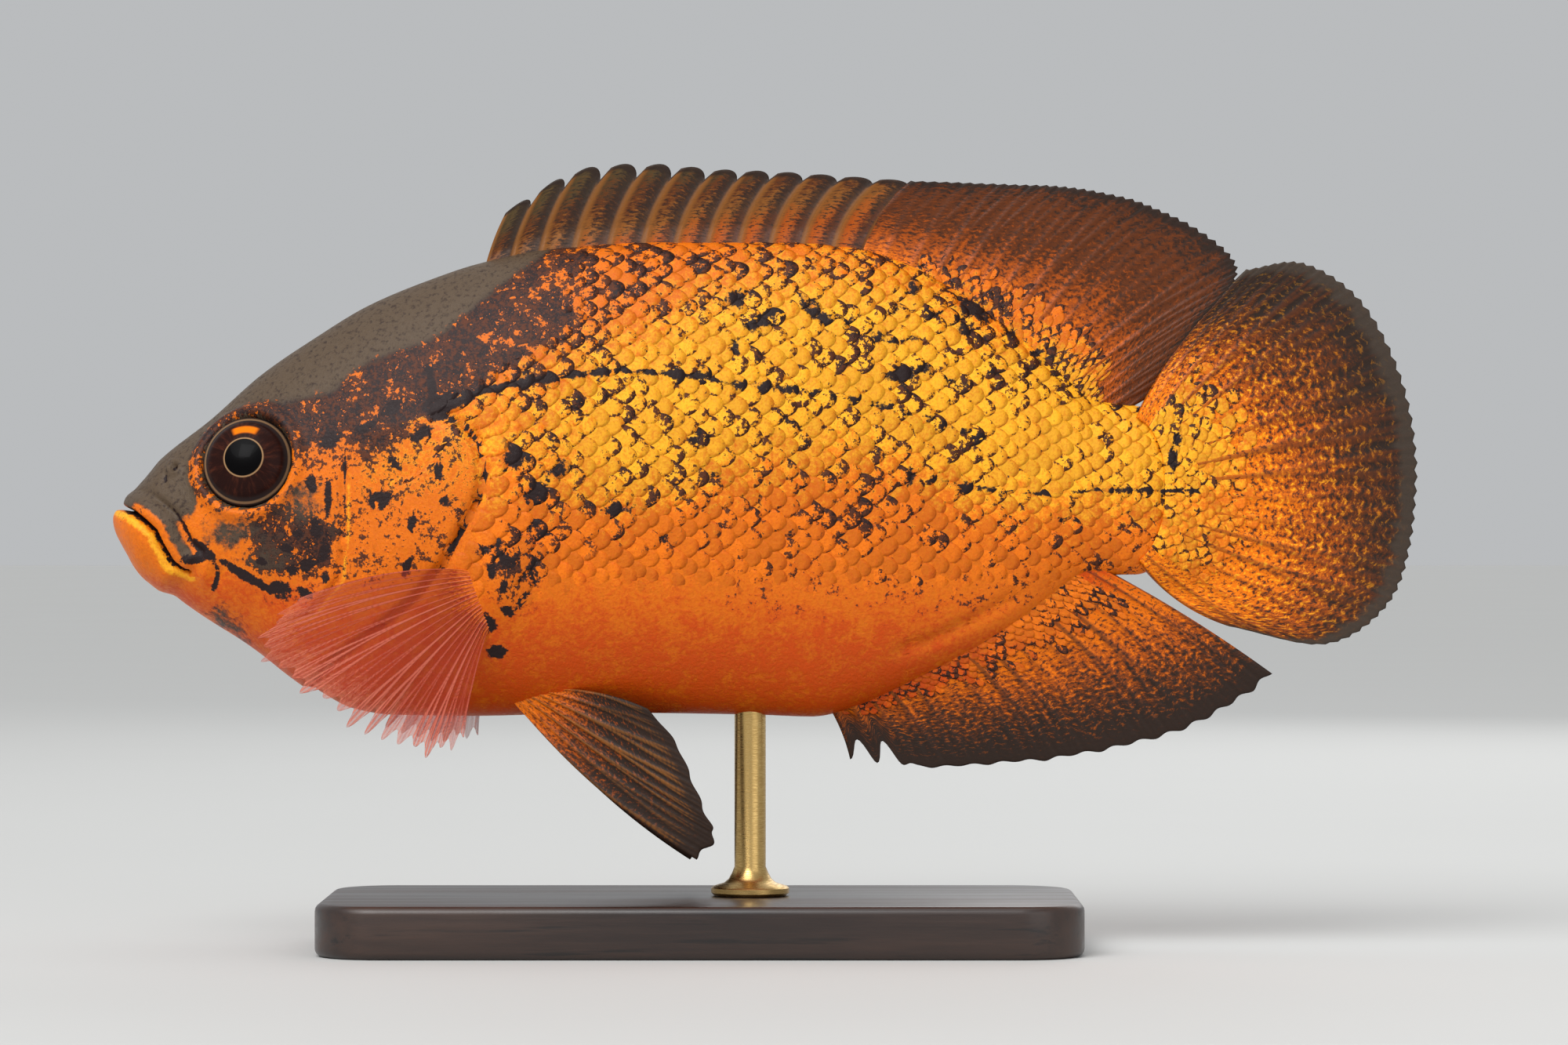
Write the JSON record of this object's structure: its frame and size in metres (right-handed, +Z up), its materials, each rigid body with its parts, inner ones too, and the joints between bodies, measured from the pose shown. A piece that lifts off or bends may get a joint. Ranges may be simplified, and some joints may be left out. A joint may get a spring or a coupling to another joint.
{
  "type": "oscar fish model",
  "caption": "Life-size oscar fish, deep oval body with rounded fins, hovering level with its pectoral fins swept forward, held on one short rod over a flat base.",
  "frame": {"origin": "centre of the bounding box on the underside of the stand's base", "axes": "+X from the snout towards the tail, +Y towards the fish's right side, +Z up; the fish's left side faces -Y"},
  "size_m": [0.2, 0.0626, 0.1204],
  "materials": {
    "head": "moist skin, grey-brown above and orange below",
    "lower_jaw": "moist skin, orange with a paler lip",
    "gill_cover": "moist scaled skin, yellow-orange",
    "trunk": "moist scaled skin, yellow-orange with dark blotches",
    "tail_stalk": "moist scaled skin, bright yellow-orange",
    "dark_fin": "rayed membrane, dark brown with orange towards its root",
    "tail_fin": "rayed membrane, orange speckled with brown, dark margin",
    "clear_fin": "rayed thin membrane, pink-red with pale rays",
    "eye": "wet glossy",
    "stand_rod": "satin",
    "stand_base": "dark stained, satin"
  },
  "bodies": {
    "root": {"head": "head", "lower_jaw": "lower_jaw", "gill_cover_left": "gill_cover", "gill_cover_right": "gill_cover", "trunk": "trunk", "tail_stalk": "tail_stalk", "dorsal_fin_spiny": "dark_fin", "dorsal_fin_soft": "dark_fin", "anal_fin": "dark_fin", "tail_fin": "tail_fin", "pectoral_fin_left": "clear_fin", "pectoral_fin_right": "clear_fin", "pelvic_fin_left": "dark_fin", "pelvic_fin_right": "dark_fin", "eye_left": "eye", "eye_right": "eye", "stand_rod": "stand_rod", "stand_base": "stand_base"}
  },
  "joints": []
}
